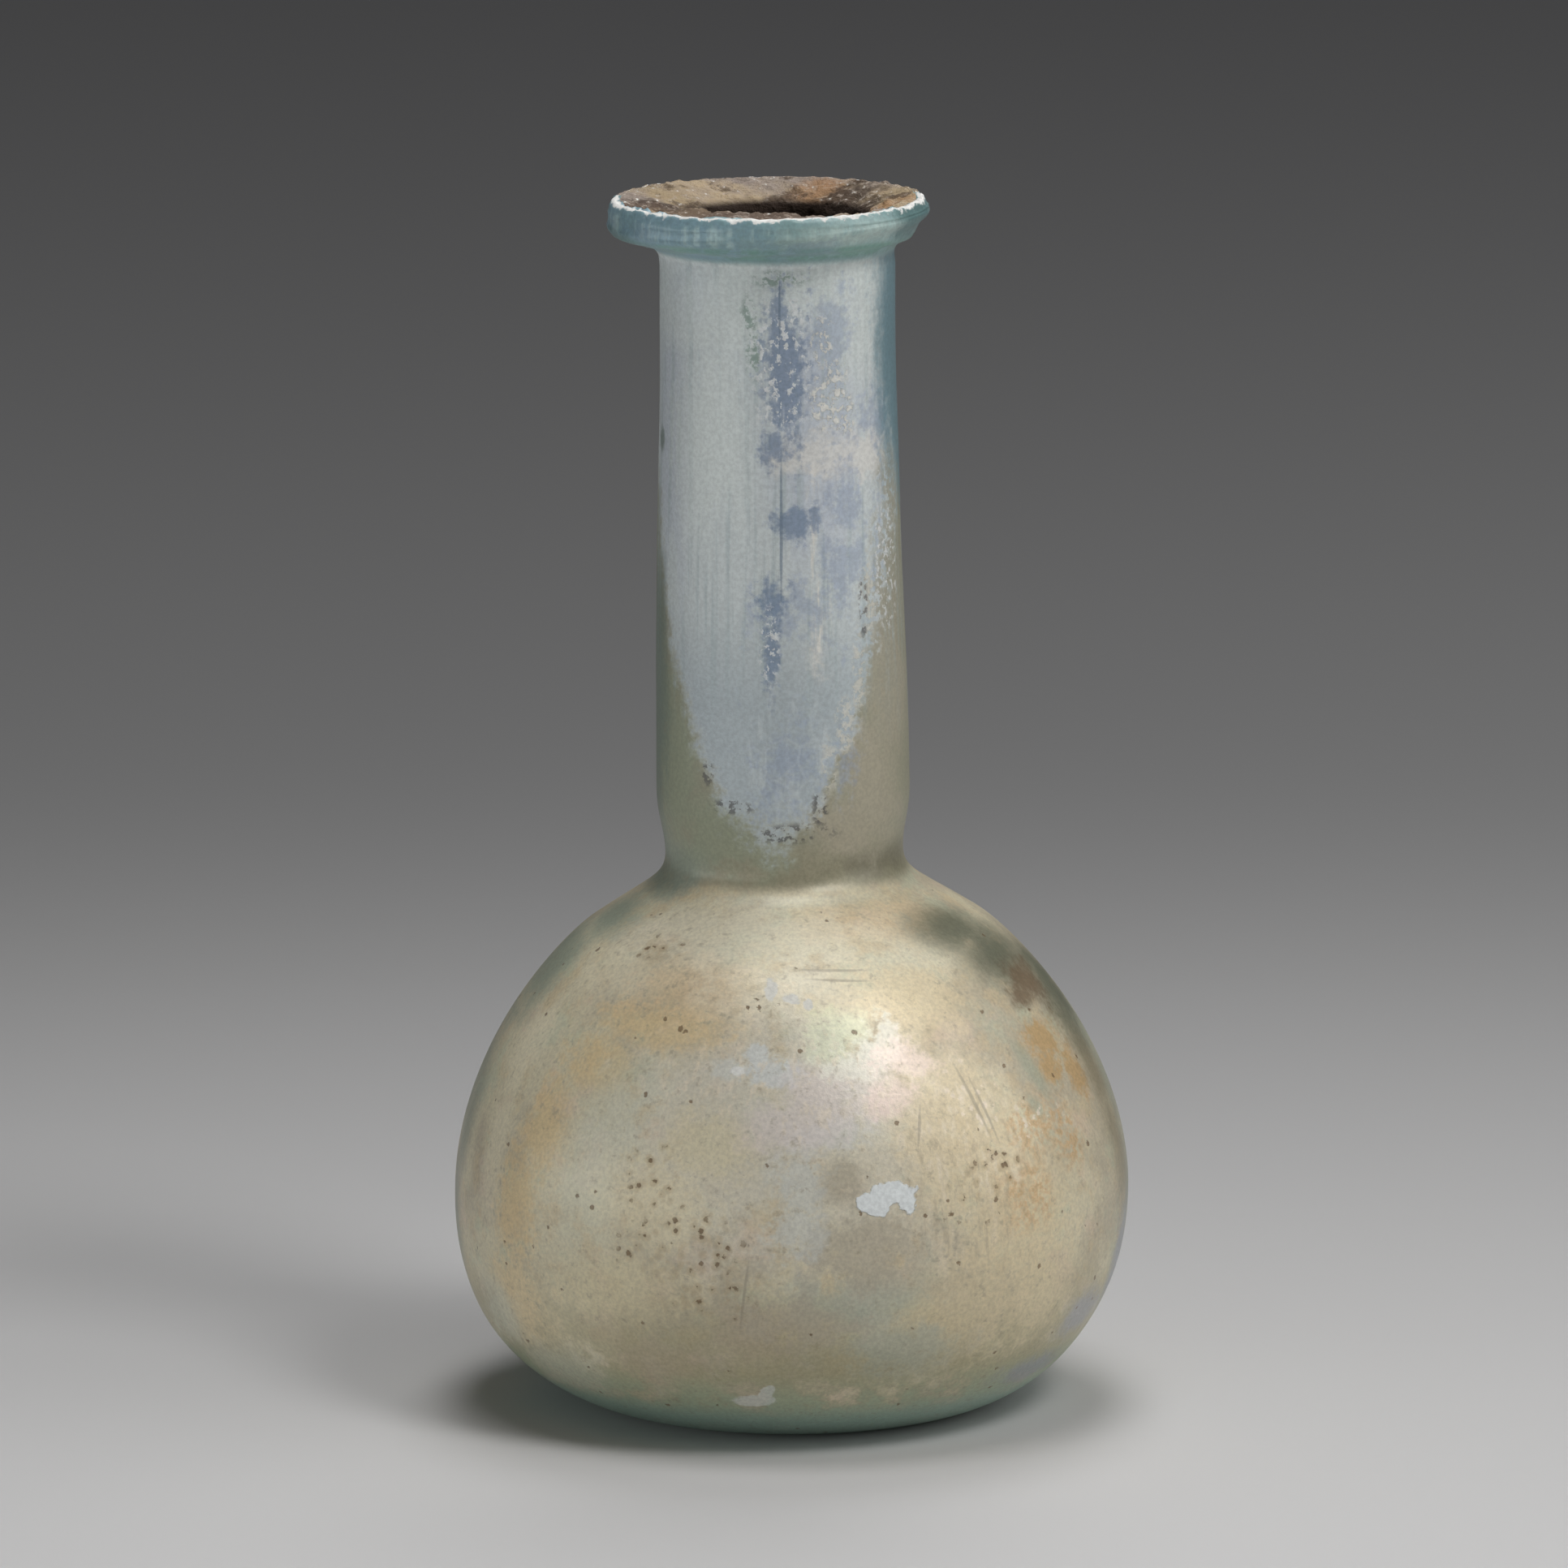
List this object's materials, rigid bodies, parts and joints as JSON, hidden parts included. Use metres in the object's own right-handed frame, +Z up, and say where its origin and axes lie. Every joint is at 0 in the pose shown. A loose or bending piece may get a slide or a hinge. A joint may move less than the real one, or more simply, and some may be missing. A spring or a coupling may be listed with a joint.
{
  "type": "glass unguentarium",
  "caption": "Ancient blown-glass scent flask with a rounded body, a tall round neck and a folded rim, weathered and standing on its flattened base.",
  "frame": {"origin": "middle of the underside, on the surface the flask stands on", "axes": "+Z up along the neck, towards the mouth; -X is the side the neck leans to; -Y is the side with the chalk flakes"},
  "size_m": [0.0616, 0.0612, 0.1101],
  "materials": {
    "weathered_glass": "blue-green glass under a satin, pearly weathering film in beige, olive and silver grey, with soil in the mouth"
  },
  "bodies": {
    "root": {"glass_flask": "weathered_glass"}
  },
  "joints": []
}
